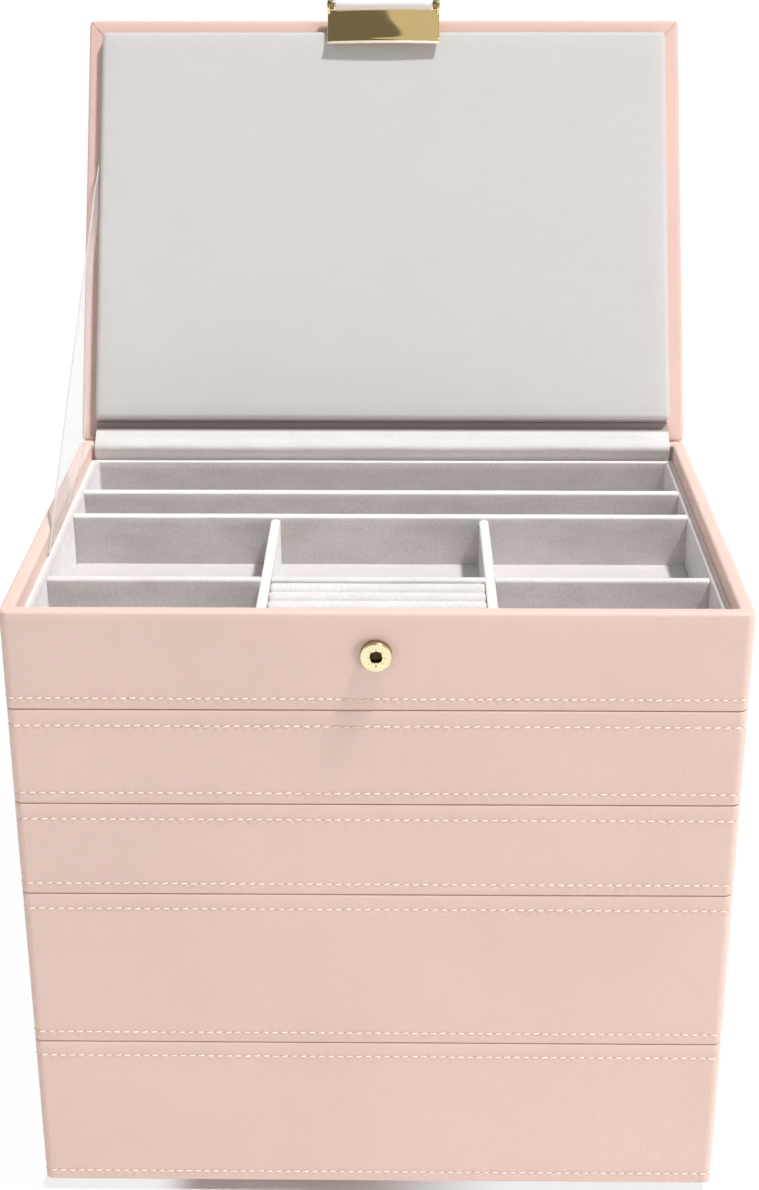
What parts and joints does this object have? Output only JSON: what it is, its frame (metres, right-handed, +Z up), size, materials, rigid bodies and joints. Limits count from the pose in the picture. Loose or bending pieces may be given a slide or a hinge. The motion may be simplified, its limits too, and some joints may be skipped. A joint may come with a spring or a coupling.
{
  "type": "tiered jewelry box",
  "caption": "Tall jewelry box of stacking trays with velvet compartments; the top tray has a padded lid on a cloth hinge, a ribbon stay and a brass flap clasp.",
  "frame": {"origin": "centre of the flat face that the box stands on, under the lowest tray's plinth", "axes": "+Z up through the stack; the front wall with the press stud faces -Y; +X is to the right as seen from the front"},
  "size_m": [0.25, 0.277, 0.4055],
  "materials": {
    "leatherette": "pale pink grained leatherette with a soft sheen",
    "board": "paper-faced fibreboard, matte",
    "velvet": "off-white short-pile velvet",
    "pad_velvet": "off-white short-pile velvet over foam",
    "brass": "polished pale gold plating",
    "ribbon": "sheer white ribbon",
    "tab_hide": "off-white leatherette, matte"
  },
  "bodies": {
    "tray_5": {"tray5_walls": "leatherette", "tray5_floor_board": "board", "tray5_plinth": "leatherette", "tray5_liner": "velvet", "tray5_row_divider_1": "velvet"},
    "tray_4": {"tray4_walls": "leatherette", "tray4_floor_board": "board", "tray4_plinth": "leatherette", "tray4_liner": "velvet", "tray4_row1_divider_1": "velvet", "tray4_row1_divider_2": "velvet"},
    "tray_3": {"tray3_walls": "leatherette", "tray3_floor_board": "board", "tray3_plinth": "leatherette", "tray3_liner": "velvet", "tray3_row_divider_1": "velvet", "tray3_row1_divider_1": "velvet", "tray3_row2_divider_1": "velvet", "tray3_row2_divider_2": "velvet"},
    "tray_2": {"tray2_walls": "leatherette", "tray2_floor_board": "board", "tray2_plinth": "leatherette", "tray2_liner": "velvet", "tray2_row_divider_1": "velvet", "tray2_row_divider_2": "velvet", "tray2_row1_divider_1": "velvet", "tray2_row1_divider_2": "velvet", "tray2_row2_divider_1": "velvet", "tray2_row2_divider_2": "velvet", "tray2_row3_divider_1": "velvet", "tray2_row3_divider_2": "velvet"},
    "tray_1": {"tray1_walls": "leatherette", "tray1_floor_board": "board", "tray1_plinth": "leatherette", "tray1_liner": "velvet", "tray1_rear_slot_divider": "velvet", "tray1_second_slot_divider": "velvet", "tray1_left_column_divider": "velvet", "tray1_right_column_divider": "velvet", "tray1_left_cross_divider": "velvet", "tray1_middle_cross_divider": "velvet", "tray1_right_cross_divider": "velvet", "tray1_ring_roll_1": "velvet", "tray1_ring_roll_2": "velvet", "tray1_ring_roll_3": "velvet", "tray1_ring_roll_4": "velvet", "tray1_ring_roll_5": "velvet", "snap_disc": "brass", "snap_washer": "brass", "hinge_spine": "leatherette", "hinge_lining": "velvet", "ribbon_stay": "ribbon"},
    "lid": {"lid_panel": "leatherette", "lid_pad": "pad_velvet", "clasp_tab": "tab_hide"},
    "clasp": {"clasp_plate": "brass", "clasp_pin": "brass", "clasp_stud": "brass"}
  },
  "joints": [
    {"name": "tray_4_lift", "type": "slide", "parent": "tray_5", "child": "tray_4", "axis": [0, 0, 1], "range_m": [0, 0.1]},
    {"name": "tray_3_lift", "type": "slide", "parent": "tray_4", "child": "tray_3", "axis": [0, 0, 1], "range_m": [0, 0.1]},
    {"name": "tray_2_lift", "type": "slide", "parent": "tray_3", "child": "tray_2", "axis": [0, 0, 1], "range_m": [0, 0.1]},
    {"name": "tray_1_lift", "type": "slide", "parent": "tray_2", "child": "tray_1", "axis": [0, 0, 1], "range_m": [0, 0.1]},
    {"name": "lid_hinge", "type": "hinge", "parent": "tray_1", "child": "lid", "pos_m": [0, 0.09, 0.2377], "axis": [1, 0, 0], "range_deg": [0, 118.7], "deforming": ["ribbon_stay", "hinge_lining", "hinge_spine"]},
    {"name": "clasp_hinge", "type": "hinge", "parent": "lid", "child": "clasp", "pos_m": [0, 0.17312, 0.40305], "axis": [1, 0, 0], "range_deg": [-92.5, 0]}
  ],
  "couplings": [
    {"joint": "clasp_hinge", "follows": "lid_hinge", "ratio": -0.7792}
  ]
}
